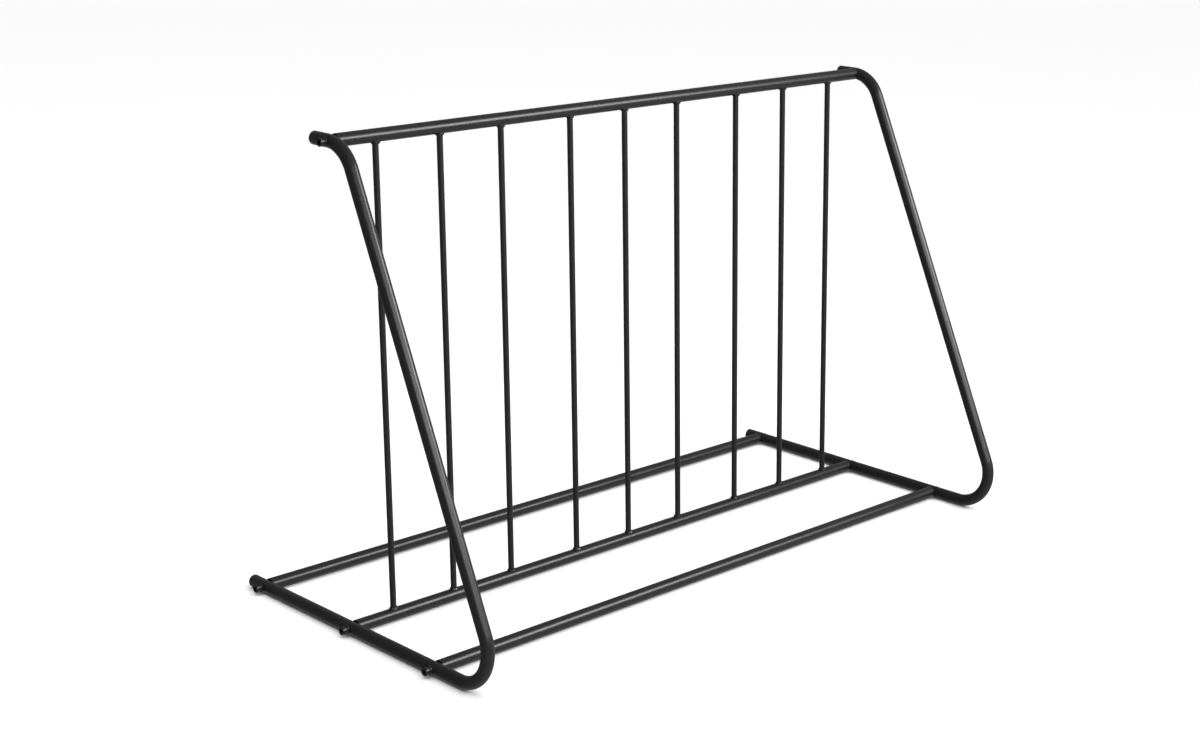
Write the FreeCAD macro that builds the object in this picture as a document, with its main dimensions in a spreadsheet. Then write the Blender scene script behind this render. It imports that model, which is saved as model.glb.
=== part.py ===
import FreeCAD, Part
import math
import os
import Sketcher

# A free-standing rack that holds parked bicycles by a wheel. Two end frames, each one bent
# tube, are bolted to the ends of four straight rails. A grid of thin pickets is welded between
# the middle base rail and the top rail, and the wheels stand in the slots between the pickets.
# X runs along the rails, the foot bends of the frames point to -Y, and Z is up. The base tubes
# rest on z = 0, and the origin is the middle of the footprint.

Vector = FreeCAD.Vector

# Driving dimensions, in millimetres and degrees.
SIZES = {
    # Tube stock.
    "tube_od": 25.4,
    "tube_wall": 1.5,
    "picket_od": 12.0,
    "picket_wall": 1.2,
    # Pickets stand in three groups of three: the pitch inside a group, the pitch between
    # groups, and the distance from the last picket to the middle of the end frame.
    "narrow_pitch": 150.0,
    "wide_pitch": 180.0,
    "end_margin": 100.0,
    # Side view: spaces between the base rails, the top rail's place, and the bent frame.
    "back_bay": 280.0,
    "front_bay": 245.0,
    "grid_height": 918.0,
    "grid_setback": 38.0,
    "leg_lean": 25.1,
    "corner_reach": 42.0,
    "bend_radius": 75.0,
    "base_overhang": 37.0,
    "top_overhang": 45.0,
    # Rail ends are notched to the frames with a little room all round, and the lips of the notch
    # stop short of the frame's axis.
    "saddle_clearance": 0.2,
    "lip_setback": 10.5,
    # Screws with a hexagon socket: cap screws in the left frame, and domed button heads in the
    # right frame, which are low enough to stay behind the tube's outline. A head is as wide as
    # its washer less a ledge on either side, which here gives the 16 and 17.5 mm of M10 screws.
    "thread_od": 10.0,
    "tip_chamfer": 1.2,
    "hole_clearance": 0.3,
    "cap_ledge": 1.0,
    "cap_height": 10.0,
    "cap_chamfer": 0.8,
    "cap_flats": 8.0,
    "cap_socket": 5.0,
    "cap_grip": 12.0,
    "button_ledge": 0.25,
    "button_height": 5.5,
    "button_land_od": 8.0,
    "button_flats": 6.0,
    "button_socket": 3.2,
    "button_grip": 13.2,
    # The washer under each kind of head, flat outside and hollowed to the tube inside: how far
    # its edge lies inside the tube's side, how thick it is at the tube's crest, and how tall.
    "washer_inset": 3.7,
    "cap_crest": 2.0,
    "cap_washer_height": 5.0,
    "button_crest": 0.8,
    "button_washer_height": 3.0,
    # Threaded inserts inside the rail ends.
    "insert_length": 16.0,
    "insert_setback": 0.4,
    "insert_clearance": 0.05,
    "thread_clearance": 0.1,
    # Plugs in the free tube ends.
    "plug_rim": 1.0,
    "plug_edge": 2.0,
    "plug_nose": 3.0,
    "plug_wall": 1.6,
    "plug_lip": 0.6,
    "plug_lip_pitch": 5.0,
    "plug_clearance": 0.05,
    # Fillet welds round the picket ends: out from the picket, and along it.
    "weld_leg": 3.0,
    "weld_rise": 4.5,
}

# Sizes and places that follow from the driving dimensions. The names that end in "_in" are
# distances forward from the back rail's axis, and those that end in "_x" are distances from the
# plane midway between the end frames. That plane stands at middle_x, which centres the footprint.
LAYOUT = {
    "tube_radius": "Dimensions.tube_od / 2",
    "bore_radius": "tube_radius - Dimensions.tube_wall",
    "saddle_radius": "tube_radius + Dimensions.saddle_clearance",
    "picket_radius": "Dimensions.picket_od / 2",
    "picket_bore_radius": "picket_radius - Dimensions.picket_wall",
    "group_pitch": "2 * Dimensions.narrow_pitch + Dimensions.wide_pitch",
    "frame_x": "group_pitch + Dimensions.narrow_pitch + Dimensions.end_margin",
    "middle_x": "(cap_x + Dimensions.cap_height - button_x - Dimensions.button_height) / 2",
    "rail_reach": "frame_x - Dimensions.lip_setback",
    "middle_in": "Dimensions.back_bay",
    "front_in": "Dimensions.back_bay + Dimensions.front_bay",
    "top_in": "Dimensions.back_bay - Dimensions.grid_setback",
    "stub_end_in": "top_in - Dimensions.top_overhang",
    "top_corner_in": "top_in + Dimensions.corner_reach",
    "top_bend_in": "top_corner_in - Dimensions.bend_radius * tan(45 - Dimensions.leg_lean / 2)",
    "foot_corner_in": "top_corner_in + Dimensions.grid_height * tan(Dimensions.leg_lean)",
    "foot_bend_in": "foot_corner_in - Dimensions.bend_radius * tan(45 + Dimensions.leg_lean / 2)",
    "toe_in": "foot_bend_in + Dimensions.bend_radius + tube_radius",
    "plug_head": "Dimensions.plug_rim + Dimensions.plug_edge",
    "heel_out": "Dimensions.base_overhang + plug_head",
    "back_y": "(toe_in - heel_out) / 2",
    "middle_y": "back_y - middle_in",
    "front_y": "back_y - front_in",
    "top_y": "back_y - top_in",
    "top_z": "tube_radius + Dimensions.grid_height",
    "grid_lean": "atan(Dimensions.grid_setback / Dimensions.grid_height)",
    "grid_span": "sqrt(Dimensions.grid_height ^ 2 + Dimensions.grid_setback ^ 2)",
    "seam_reach": "(tube_radius + sqrt(tube_radius ^ 2 - picket_radius ^ 2)) / 2",
    "thread_radius": "Dimensions.thread_od / 2",
    "hole_radius": "thread_radius + Dimensions.hole_clearance",
    "tapped_radius": "thread_radius + Dimensions.thread_clearance",
    "washer_radius": "tube_radius - Dimensions.washer_inset",
    "cap_radius": "washer_radius - Dimensions.cap_ledge",
    "cap_x": "frame_x + tube_radius + Dimensions.cap_crest",
    "button_radius": "washer_radius - Dimensions.button_ledge",
    "button_land_radius": "Dimensions.button_land_od / 2",
    "button_x": "frame_x + tube_radius + Dimensions.button_crest",
    "insert_radius": "bore_radius - Dimensions.insert_clearance",
    "insert_x": "frame_x - saddle_radius - Dimensions.insert_setback",
    "cap_length": "cap_x - insert_x + Dimensions.cap_grip",
    "button_length": "button_x - insert_x + Dimensions.button_grip",
    "barrel_radius": "bore_radius - Dimensions.plug_lip",
    "lip_radius": "bore_radius - Dimensions.plug_clearance",
    "cup_radius": "barrel_radius - Dimensions.plug_wall",
}

# Each rail with the layout names of its axis.
RAILS = {
    "back_rail": ("back_y", "tube_radius"),
    "middle_rail": ("middle_y", "tube_radius"),
    "front_rail": ("front_y", "tube_radius"),
    "top_rail": ("top_y", "top_z"),
}
# The weld beads on each rail that carries pickets, with the way up or down to them.
WELDS = {"bottom_welds": ("middle_rail", 1), "top_welds": ("top_rail", -1)}
# Each end of the rack, with the way that it faces along X, and the kind of its screws.
SIDES = {"left": -1, "right": 1}
SCREWS = {"left": "cap", "right": "button"}
PICKET_GROUPS = (-1, 0, 1)
PLUG_LIPS = 2
HEX_CORNERS = 6
QUARTER_TURN = 90
FULL_TURN = 360


def make_sheet(doc):
    """The spreadsheet of driving dimensions, one named cell for each."""
    sheet = doc.addObject("Spreadsheet::Sheet", "Dimensions")
    for row, (name, value) in enumerate(SIZES.items(), start=1):
        sheet.set(f"A{row}", name)
        sheet.set(f"B{row}", str(value))
        sheet.setAlias(f"B{row}", name)
    doc.recompute()
    return sheet


def make_layout(doc):
    """The set of derived sizes, each bound to the driving dimensions."""
    layout = doc.addObject("App::VarSet", "Layout")
    for name in LAYOUT:
        layout.addProperty("App::PropertyFloat", name, "Layout")
    for name, formula in LAYOUT.items():
        layout.setExpression(name, formula)
    doc.recompute()
    return layout


def bind(obj, **formulas):
    """Bind properties of an object, with "__" for the dots of a nested one."""
    for name, formula in formulas.items():
        obj.setExpression(name.replace("__", "."), formula)


def place(obj, x="0", y="0", z="0"):
    """Bind the three coordinates of an object's place."""
    bind(obj, Placement__Base__x=x, Placement__Base__y=y, Placement__Base__z=z)


def turn(obj, axis, degrees):
    """Turn an object about an axis through its own origin."""
    obj.Placement = FreeCAD.Placement(Vector(), FreeCAD.Rotation(axis, degrees))


def cut(doc, name, base, tool):
    """One solid less another. A tool that misses the base is an error."""
    result = doc.addObject("Part::Cut", name)
    result.Base = base
    result.Tool = tool
    doc.recompute()
    must_shrink(base.Shape, result)
    return result


def must_shrink(before, feature):
    """A cut has to take something away."""
    if feature.Shape.isNull() or feature.Shape.Volume >= before.Volume:
        raise RuntimeError(f"{feature.Label} cuts nothing")


def cylinder(doc, name, radius, length):
    """A round bar along its own Z axis."""
    bar = doc.addObject("Part::Cylinder", name)
    bind(bar, Radius=radius, Height=length)
    return bar


def sketch_on(body, name, role):
    """A sketch on one of the body's own origin planes."""
    sketch = body.newObject("Sketcher::SketchObject", name)
    plane = next(item for item in body.Origin.OriginFeatures if item.Role == role)
    sketch.AttachmentSupport = (plane, "")
    sketch.MapMode = "FlatFace"
    return sketch


def hold(sketch, name, formula, *constraint):
    """Add a named dimension to a sketch and bind it."""
    value = sketch.evalExpression(formula)
    number = getattr(value, "Value", value)
    if constraint[0] == "Angle":
        number = math.radians(number)
    index = sketch.addConstraint(Sketcher.Constraint(*constraint, number))
    sketch.renameConstraint(index, name)
    sketch.setExpression("Constraints." + name, formula)


def hold_point(sketch, geometry, vertex, across, up):
    """Bind a point of a sketch to two formulas, or keep it on an axis where one is "0"."""
    if across == "0":
        sketch.addConstraint(Sketcher.Constraint("PointOnObject", geometry, vertex, -2))
    else:
        hold(sketch, f"across_{geometry}", across, "DistanceX", -1, 1, geometry, vertex)
    if up == "0":
        sketch.addConstraint(Sketcher.Constraint("PointOnObject", geometry, vertex, -1))
    else:
        hold(sketch, f"up_{geometry}", up, "DistanceY", -1, 1, geometry, vertex)


def sketch_point(sketch, across, up):
    """The point that two formulas give now."""
    return Vector(sketch.evalExpression(across), sketch.evalExpression(up), 0)


def dome_arc(rim, top):
    """The arc that rises from a rim to a higher point, about a centre on the vertical axis."""
    centre = Vector(0, (top.dot(top) - rim.dot(rim)) / (2 * (top.y - rim.y)), 0)
    angles = [math.atan2(point.y - centre.y, point.x) for point in (rim, top)]
    circle = Part.Circle(centre, Vector(0, 0, 1), (rim - centre).Length)
    return Part.ArcOfCircle(circle, *angles)


def add_outline(sketch, corners, dome=None):
    """A closed outline through corners given as pairs of formulas.

    Its sides are straight, but the one that starts at the corner numbered dome is an arc, which
    needs the corners in counter-clockwise order.
    """
    points = [sketch_point(sketch, across, up) for across, up in corners]
    for index, (start, end) in enumerate(zip(points, points[1:] + points[:1])):
        side = dome_arc(start, end) if index == dome else Part.LineSegment(start, end)
        sketch.addGeometry(side, False)
    for index, (across, up) in enumerate(corners):
        before = (index or len(corners)) - 1
        sketch.addConstraint(Sketcher.Constraint("Coincident", before, 2, index, 1))
        hold_point(sketch, index, 1, across, up)
    if dome is not None:
        sketch.addConstraint(Sketcher.Constraint("PointOnObject", dome, 3, -2))


def add_circle(sketch, radius, across="0", up="0"):
    """A circle with a bound radius and centre."""
    centre = sketch_point(sketch, across, up)
    size = sketch.evalExpression(radius)
    circle = sketch.addGeometry(Part.Circle(centre, Vector(0, 0, 1), size), False)
    hold(sketch, f"radius_{circle}", radius, "Radius", circle)
    hold_point(sketch, circle, 3, across, up)


def draw_frame_path(sketch, sheet, layout):
    """The centre line of an end frame: stub, top bend, leg, foot bend and base, end to end."""
    normal = Vector(0, 0, 1)
    radius = sheet.bend_radius
    height = sheet.grid_height
    square = math.radians(QUARTER_TURN)
    lean = math.radians(sheet.leg_lean)
    top_centre = Vector(-layout.top_bend_in, height - radius, 0)
    foot_centre = Vector(-layout.foot_bend_in, radius, 0)
    to_leg = Vector(-math.cos(lean), math.sin(lean), 0) * radius
    stub = Part.LineSegment(
        Vector(-layout.stub_end_in, height, 0), Vector(-layout.top_bend_in, height, 0)
    )
    top_bend = Part.ArcOfCircle(
        Part.Circle(top_centre, normal, radius), square, 2 * square - lean
    )
    leg = Part.LineSegment(top_centre + to_leg, foot_centre + to_leg)
    foot_bend = Part.ArcOfCircle(
        Part.Circle(foot_centre, normal, radius), 2 * square - lean, 3 * square
    )
    base = Part.LineSegment(
        Vector(-layout.foot_bend_in, 0, 0), Vector(sheet.base_overhang, 0, 0)
    )
    pieces = [sketch.addGeometry(item, False) for item in (stub, top_bend, leg, foot_bend, base)]
    for first, second in zip(pieces, pieces[1:]):
        sketch.addConstraint(Sketcher.Constraint("Tangent", first, 2, second, 1))
    stub, top_bend, leg, foot_bend, base = pieces
    sketch.addConstraint(Sketcher.Constraint("Horizontal", stub))
    sketch.addConstraint(Sketcher.Constraint("Horizontal", base))
    sketch.addConstraint(Sketcher.Constraint("PointOnObject", base, 2, -1))
    sketch.addConstraint(Sketcher.Constraint("Equal", top_bend, foot_bend))
    hold(sketch, "bend_radius", "Dimensions.bend_radius", "Radius", top_bend)
    hold(sketch, "leg_angle", "-90 deg - Dimensions.leg_lean * 1 deg", "Angle", leg)
    hold(sketch, "stub_height", "Dimensions.grid_height", "DistanceY", -1, 1, stub, 1)
    hold(sketch, "stub_end", "-Layout.stub_end_in", "DistanceX", -1, 1, stub, 1)
    hold(sketch, "stub_bend", "-Layout.top_bend_in", "DistanceX", -1, 1, stub, 2)
    hold(sketch, "base_end", "Dimensions.base_overhang", "DistanceX", -1, 1, base, 2)


def side_x(side, distance):
    """The X of something at a distance from the middle plane, on one side."""
    return f"{SIDES[side]} * Layout.{distance} + Layout.middle_x"


def bent_bar(doc, sheet, layout, name, side, radii):
    """A bar bent along the frame's centre line, with one circle of its section per radius."""
    body = doc.addObject("PartDesign::Body", name)
    path = sketch_on(body, name + "_path", "YZ_Plane")
    draw_frame_path(path, sheet, layout)
    section = sketch_on(body, name + "_section", "XZ_Plane")
    bind(section, AttachmentOffset__Base__z="-Dimensions.base_overhang")
    for radius in radii:
        add_circle(section, radius)
    doc.recompute()
    sweep = body.newObject("PartDesign::AdditivePipe", name + "_sweep")
    sweep.Profile = section
    sweep.Spine = (path, [f"Edge{index + 1}" for index in range(path.GeometryCount)])
    place(body, side_x(side, "frame_x"), "Layout.back_y", "Layout.tube_radius")
    doc.recompute()
    return body


def end_frame(doc, sheet, layout, side):
    """An end frame: a bent tube, drilled across for the screw at each rail."""
    name = "end_frame_" + side
    body = bent_bar(
        doc, sheet, layout, name, side, ("Layout.tube_radius", "Layout.bore_radius")
    )
    holes = sketch_on(body, name + "_holes", "YZ_Plane")
    add_circle(holes, "Layout.hole_radius")
    add_circle(holes, "Layout.hole_radius", "-Layout.middle_in")
    add_circle(holes, "Layout.hole_radius", "-Layout.front_in")
    add_circle(holes, "Layout.hole_radius", "-Layout.top_in", "Dimensions.grid_height")
    doc.recompute()
    undrilled = body.Shape.copy()
    drill = body.newObject("PartDesign::Pocket", name + "_drill")
    drill.Profile = holes
    drill.SideType = "Symmetric"
    bind(drill, Length="2 * Dimensions.tube_od")
    doc.recompute()
    must_shrink(undrilled, body)
    return body


def along_x(doc, name, radius, y, z):
    """A round bar on a rail's axis, as long as the rail over its lips."""
    bar = cylinder(doc, name, radius, "2 * Layout.rail_reach")
    turn(bar, Vector(0, 1, 0), QUARTER_TURN)
    place(bar, "Layout.middle_x - Layout.rail_reach", "Layout." + y, "Layout." + z)
    return bar


def rail(doc, name, saddles):
    """A rail: a straight tube with both ends notched to the end frames."""
    y, z = RAILS[name]
    skin = along_x(doc, name + "_skin", "Layout.tube_radius", y, z)
    bore = along_x(doc, name + "_bore", "Layout.bore_radius", y, z)
    doc.recompute()
    tube = cut(doc, name + "_tube", skin, bore)
    notched = cut(doc, name + "_notched", tube, saddles["left"])
    return cut(doc, name, notched, saddles["right"])


def picket_places():
    """The formula of each picket's X, in three groups of three about the middle."""
    places = []
    for group in PICKET_GROUPS:
        for step in PICKET_GROUPS:
            from_middle = f"{group} * Layout.group_pitch + {step} * Dimensions.narrow_pitch"
            places.append(from_middle + " + Layout.middle_x")
    return places


def lean_back(obj):
    """Lean an object's Z axis back with the grid."""
    turn(obj, Vector(-1, 0, 0), QUARTER_TURN)
    bind(obj, Placement__Rotation__Angle="Layout.grid_lean")


def picket_bar(doc, name, radius, x):
    """A round bar that leans back from the middle rail's axis to the top rail's axis."""
    bar = cylinder(doc, name, radius, "Layout.grid_span")
    lean_back(bar)
    place(bar, x, "Layout.middle_y", "Layout.tube_radius")
    return bar


def picket(doc, name, x):
    """A picket: a thin tube coped to the middle rail below and to the top rail above."""
    skin = picket_bar(doc, name + "_skin", "Layout.picket_radius", x)
    bore = picket_bar(doc, name + "_bore", "Layout.picket_bore_radius", x)
    doc.recompute()
    tube = cut(doc, name + "_tube", skin, bore)
    coped = cut(doc, name + "_coped", tube, doc.middle_rail_skin)
    return cut(doc, name, coped, doc.top_rail_skin)


def weld_bead(doc, name):
    """The pattern for the beads on one rail: a crowned ring on the picket, less the rail."""
    rail_name, upwards = WELDS[name]
    ring = doc.addObject("PartDesign::Body", name + "_ring")
    profile = sketch_on(ring, name + "_profile", "XZ_Plane")
    crown = "Layout.picket_radius + Dimensions.weld_leg"
    root = "Layout.picket_radius + Dimensions.weld_leg / 2"
    to_rail = f"{-upwards} * Dimensions.weld_leg"
    add_outline(profile, [
        ("Layout.picket_radius", to_rail),
        (root, to_rail),
        (crown, "0"),
        ("Layout.picket_radius", f"{upwards} * Dimensions.weld_rise"),
    ])
    turned = ring.newObject("PartDesign::Revolution", name + "_turned")
    turned.Profile = profile
    turned.ReferenceAxis = (profile, ["V_Axis"])
    lean_back(ring)
    y, z = RAILS[rail_name]
    place(
        ring,
        y=f"Layout.{y} + {upwards} * Layout.seam_reach * sin(Layout.grid_lean)",
        z=f"Layout.{z} + {upwards} * Layout.seam_reach * cos(Layout.grid_lean)",
    )
    doc.recompute()
    return cut(doc, name + "_bead", ring, doc.getObject(rail_name + "_skin"))


def group_copies(doc, name, pattern, places):
    """One node of separate solids: a copy of the pattern at each place, turned about Y."""
    copies = []
    for number, (x, y, z, degrees) in enumerate(places, start=1):
        copy = doc.addObject("App::Link", f"{name}_{number}")
        copy.LinkedObject = pattern
        turn(copy, Vector(0, 1, 0), degrees)
        place(copy, x, y, z)
        copies.append(copy)
    node = doc.addObject("Part::Compound", name)
    node.Links = copies
    doc.recompute()
    return node


def rail_ends(side, x):
    """The place of each rail's end on one side, with the Z axis turned to point outwards."""
    places = []
    for y, z in RAILS.values():
        places.append((side_x(side, x), "Layout." + y, "Layout." + z, SIDES[side] * QUARTER_TURN))
    return places


def screw_profile(kind):
    """Half the section of a screw from its tip up, and the number of the side that is domed."""
    radius = f"Layout.{kind}_radius"
    height = f"Dimensions.{kind}_height"
    tip = f"-Layout.{kind}_length"
    corners = [
        ("0", tip),
        ("Layout.thread_radius - Dimensions.tip_chamfer", tip),
        ("Layout.thread_radius", tip + " + Dimensions.tip_chamfer"),
        ("Layout.thread_radius", "0"),
        (radius, "0"),
    ]
    if kind == "cap":
        dome = None
        corners.append((radius, height + " - Dimensions.cap_chamfer"))
        corners.append((radius + " - Dimensions.cap_chamfer", height))
    else:
        dome = len(corners) - 1
        corners.append(("Layout.button_land_radius", height))
    corners.append(("0", height))
    return corners, dome


def socket_screw(doc, kind):
    """The pattern for one kind of screw, with its head above z = 0 and its thread below."""
    name = kind + "_screw"
    body = doc.addObject("PartDesign::Body", name)
    profile = sketch_on(body, name + "_profile", "XZ_Plane")
    add_outline(profile, *screw_profile(kind))
    turned = body.newObject("PartDesign::Revolution", name + "_turned")
    turned.Profile = profile
    turned.ReferenceAxis = (profile, ["V_Axis"])
    hexagon = sketch_on(body, name + "_hexagon", "XY_Plane")
    bind(hexagon, AttachmentOffset__Base__z=f"Dimensions.{kind}_height")
    corner_radius = f"Dimensions.{kind}_flats / sqrt(3)"
    corners = []
    for index in range(HEX_CORNERS):
        angle = index * FULL_TURN / HEX_CORNERS
        corners.append((f"{corner_radius} * cos({angle})", f"{corner_radius} * sin({angle})"))
    add_outline(hexagon, corners)
    doc.recompute()
    solid_head = body.Shape.copy()
    socket = body.newObject("PartDesign::Pocket", name + "_socket")
    socket.Profile = hexagon
    bind(socket, Length=f"Dimensions.{kind}_socket")
    doc.recompute()
    must_shrink(solid_head, body)
    return body


def saddle_washer(doc, kind):
    """The pattern for one kind of washer: flat under the head at z = 0, and hollowed to the tube."""
    name = kind + "_washer"
    height = f"Dimensions.{kind}_washer_height"
    disc = cylinder(doc, name + "_disc", "Layout.washer_radius", height)
    place(disc, z="-" + height)
    hole = cylinder(doc, name + "_hole", "Layout.hole_radius", height)
    place(hole, z="-" + height)
    tube = cylinder(doc, name + "_tube", "Layout.saddle_radius", "2 * Layout.washer_radius")
    turn(tube, Vector(1, 0, 0), QUARTER_TURN)
    place(tube, y="Layout.washer_radius", z=f"-Dimensions.{kind}_crest - Layout.saddle_radius")
    doc.recompute()
    ring = cut(doc, name + "_ring", disc, hole)
    return cut(doc, name, ring, tube)


def rail_insert(doc):
    """The pattern for every threaded insert: a bored slug below z = 0."""
    slug = cylinder(doc, "rail_insert_slug", "Layout.insert_radius", "Dimensions.insert_length")
    place(slug, z="-Dimensions.insert_length")
    thread = cylinder(doc, "rail_insert_bore", "Layout.tapped_radius", "Dimensions.insert_length")
    place(thread, z="-Dimensions.insert_length")
    doc.recompute()
    return cut(doc, "rail_insert", slug, thread)


def tube_plug(doc, name, side, y, z):
    """A plug: a rounded cap as wide as the tube on a hollow barrel with push-in lips."""
    body = doc.addObject("PartDesign::Body", name)
    profile = sketch_on(body, name + "_profile", "YZ_Plane")
    corners = [
        ("Layout.plug_head", "0"),
        ("Layout.plug_head", "Layout.tube_radius"),
        ("0", "Layout.tube_radius"),
        ("0", "Layout.barrel_radius"),
    ]
    for lip in range(1, PLUG_LIPS + 1):
        crest = f"-{lip} * Dimensions.plug_lip_pitch + Dimensions.plug_lip"
        foot = f"-{lip} * Dimensions.plug_lip_pitch"
        corners.append((crest, "Layout.barrel_radius"))
        corners.append((crest, "Layout.lip_radius"))
        corners.append((foot, "Layout.barrel_radius"))
    tip = f"{foot} - Dimensions.plug_nose"
    corners.extend([
        (tip, "Layout.barrel_radius"),
        (tip, "Layout.cup_radius"),
        ("0", "Layout.cup_radius"),
        ("0", "0"),
    ])
    add_outline(profile, corners)
    turned = body.newObject("PartDesign::Revolution", name + "_turned")
    turned.Profile = profile
    turned.ReferenceAxis = (profile, ["H_Axis"])
    doc.recompute()
    rim = max(turned.Shape.Edges, key=lambda edge: edge.CenterOfMass.y + edge.Length)
    rim_name = f"Edge{[edge.isSame(rim) for edge in turned.Shape.Edges].index(True) + 1}"
    rounded = body.newObject("PartDesign::Fillet", name + "_rounded")
    rounded.Base = (turned, [rim_name])
    bind(rounded, Radius="Dimensions.plug_edge")
    place(body, side_x(side, "frame_x"), y, z)
    doc.recompute()
    return body


def build(doc):
    """Make every sub-part, and give back the ones that are written out."""
    sheet = make_sheet(doc)
    layout = make_layout(doc)
    nodes = []
    saddles = {}
    for side in SIDES:
        nodes.append(end_frame(doc, sheet, layout, side))
        saddles[side] = bent_bar(
            doc, sheet, layout, "saddle_" + side, side, ("Layout.saddle_radius",)
        )
    for name in RAILS:
        nodes.append(rail(doc, name, saddles))
    for number, x in enumerate(picket_places(), start=1):
        nodes.append(picket(doc, f"picket_{number}", x))
    for name in WELDS:
        beads = [(x, "0", "0", 0) for x in picket_places()]
        nodes.append(group_copies(doc, name, weld_bead(doc, name), beads))
    insert = rail_insert(doc)
    base_end = "Layout.back_y + Dimensions.base_overhang"
    stub_end = "Layout.top_y + Dimensions.top_overhang"
    for side, kind in SCREWS.items():
        seats = rail_ends(side, kind + "_x")
        nodes.append(group_copies(doc, "frame_bolts_" + side, socket_screw(doc, kind), seats))
        nodes.append(group_copies(doc, "frame_washers_" + side, saddle_washer(doc, kind), seats))
        inserts = rail_ends(side, "insert_x")
        nodes.append(group_copies(doc, "rail_inserts_" + side, insert, inserts))
        nodes.append(tube_plug(doc, "base_plug_" + side, side, base_end, "Layout.tube_radius"))
        nodes.append(tube_plug(doc, "top_plug_" + side, side, stub_end, "Layout.top_z"))
    return nodes


def check(doc, nodes):
    """Stop if an object failed, or a sub-part's shape is missing or broken."""
    for item in doc.Objects:
        if "Invalid" in item.State or "Error" in item.State:
            raise RuntimeError(f"{item.Label} failed: {item.State}")
    for node in nodes:
        if node.Shape.isNull() or not node.Shape.isValid():
            raise RuntimeError(f"{node.Label} has no valid shape")


def main():
    doc = FreeCAD.newDocument("bike_rack")
    nodes = build(doc)
    doc.recompute()
    check(doc, nodes)
    os.makedirs("parts", exist_ok=True)
    for node in nodes:
        node.Shape.exportStep(f"parts/{node.Label}.step")
        solids = len(node.Shape.Solids)
        print(f"{node.Label}: {solids} solids, {node.Shape.Volume:.0f} mm3")


main()
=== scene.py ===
import math
from typing import NamedTuple

import bmesh
import bpy
from bpy.props import FloatProperty, FloatVectorProperty, IntProperty, PointerProperty
from mathutils import Euler, Matrix, Vector


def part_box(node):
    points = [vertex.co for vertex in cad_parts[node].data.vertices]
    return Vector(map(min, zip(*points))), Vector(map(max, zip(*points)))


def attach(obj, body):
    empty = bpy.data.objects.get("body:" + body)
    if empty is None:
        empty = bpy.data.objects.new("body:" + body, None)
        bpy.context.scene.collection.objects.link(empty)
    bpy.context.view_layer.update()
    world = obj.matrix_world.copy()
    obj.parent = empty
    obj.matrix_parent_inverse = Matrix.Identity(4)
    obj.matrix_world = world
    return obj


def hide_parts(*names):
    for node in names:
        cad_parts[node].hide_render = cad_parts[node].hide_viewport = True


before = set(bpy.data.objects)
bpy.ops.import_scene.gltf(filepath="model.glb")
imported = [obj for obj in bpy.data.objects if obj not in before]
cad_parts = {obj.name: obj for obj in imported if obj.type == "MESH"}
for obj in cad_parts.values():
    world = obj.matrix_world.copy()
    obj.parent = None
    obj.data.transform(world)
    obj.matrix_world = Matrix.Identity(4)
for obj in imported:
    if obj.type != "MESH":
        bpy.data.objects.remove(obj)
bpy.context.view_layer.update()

bl_info = {
    "name": "Bicycle floor rack",
    "version": (1, 0, 0),
    "blender": (4, 5, 0),
    "location": "View3D > Sidebar > Rack",
    "description": "Dresses a floor rack of bent black tube with welded pickets",
    "category": "Object",
}

SIDES = {"left": -1, "right": 1}
RAILS = ("top_rail", "back_rail", "middle_rail", "front_rail")
PICKETS_IN_GROUP = 3
PICKET_GROUPS = 3
PICKETS = tuple(f"picket_{number}" for number in range(1, PICKETS_IN_GROUP * PICKET_GROUPS + 1))

MILLIMETRE = 0.001
FULL_TURN = 2 * math.pi
QUARTER_TURN = math.pi / 2
SMOOTH_LIMIT = math.radians(32)
CUT_EDGE_LIMIT = math.radians(60)

# How finely round shapes are divided
TUBE_SIDES = 64
PICKET_SIDES = 48
SCREW_SIDES = 72
BEND_STEPS = 40
ROUNDING_STEPS = 2
STEPS_PER_RIPPLE = 8


# Places that come from the frame


def middle_of(node):
    """The middle of a node's box."""
    low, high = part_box(node)
    return (low + high) / 2


def half_size(node):
    """Half of a node's box, along each axis."""
    low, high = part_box(node)
    return (high - low) / 2


TUBE_RADIUS = half_size("back_rail").z
PICKET_RADIUS = half_size("picket_1").x
RAIL_PLACES = {name: middle_of(name) for name in RAILS}
FRAME_X = {side: middle_of("end_frame_" + side).x for side in SIDES}
PLUG_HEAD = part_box("base_plug_left")[1].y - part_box("end_frame_left")[1].y
BASE_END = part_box("end_frame_left")[1].y
STUB_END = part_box("top_plug_left")[1].y - PLUG_HEAD
TOE_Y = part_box("end_frame_left")[0].y
LIP_SETBACK = FRAME_X["right"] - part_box("back_rail")[1].x
PLUG_LENGTH = 2 * half_size("base_plug_left").y - PLUG_HEAD
GRID_RUN = RAIL_PLACES["top_rail"] - RAIL_PLACES["middle_rail"]
GRID_LEAN = math.atan2(GRID_RUN.y, GRID_RUN.z)


class Fixing(NamedTuple):
    """Sizes of the screws and washers on one side."""

    seat: float
    head_radius: float
    head_height: float
    length: float
    washer_radius: float
    washer_height: float


def outward(side, node):
    """Where a node starts and ends, outwards from the middle of the end frame's tube."""
    return sorted(SIDES[side] * (corner.x - FRAME_X[side]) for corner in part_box(node))


def fixing_of(side):
    """The sizes that the boxes of one side's screws and washers give."""
    tip, top = outward(side, "frame_bolts_" + side)
    foot, seat = outward(side, "frame_washers_" + side)
    rail_y = RAIL_PLACES["back_rail"].y
    return Fixing(
        seat=seat, head_radius=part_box("frame_bolts_" + side)[1].y - rail_y, head_height=top - seat,
        length=seat - tip, washer_radius=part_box("frame_washers_" + side)[1].y - rail_y,
        washer_height=seat - foot,
    )


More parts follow.
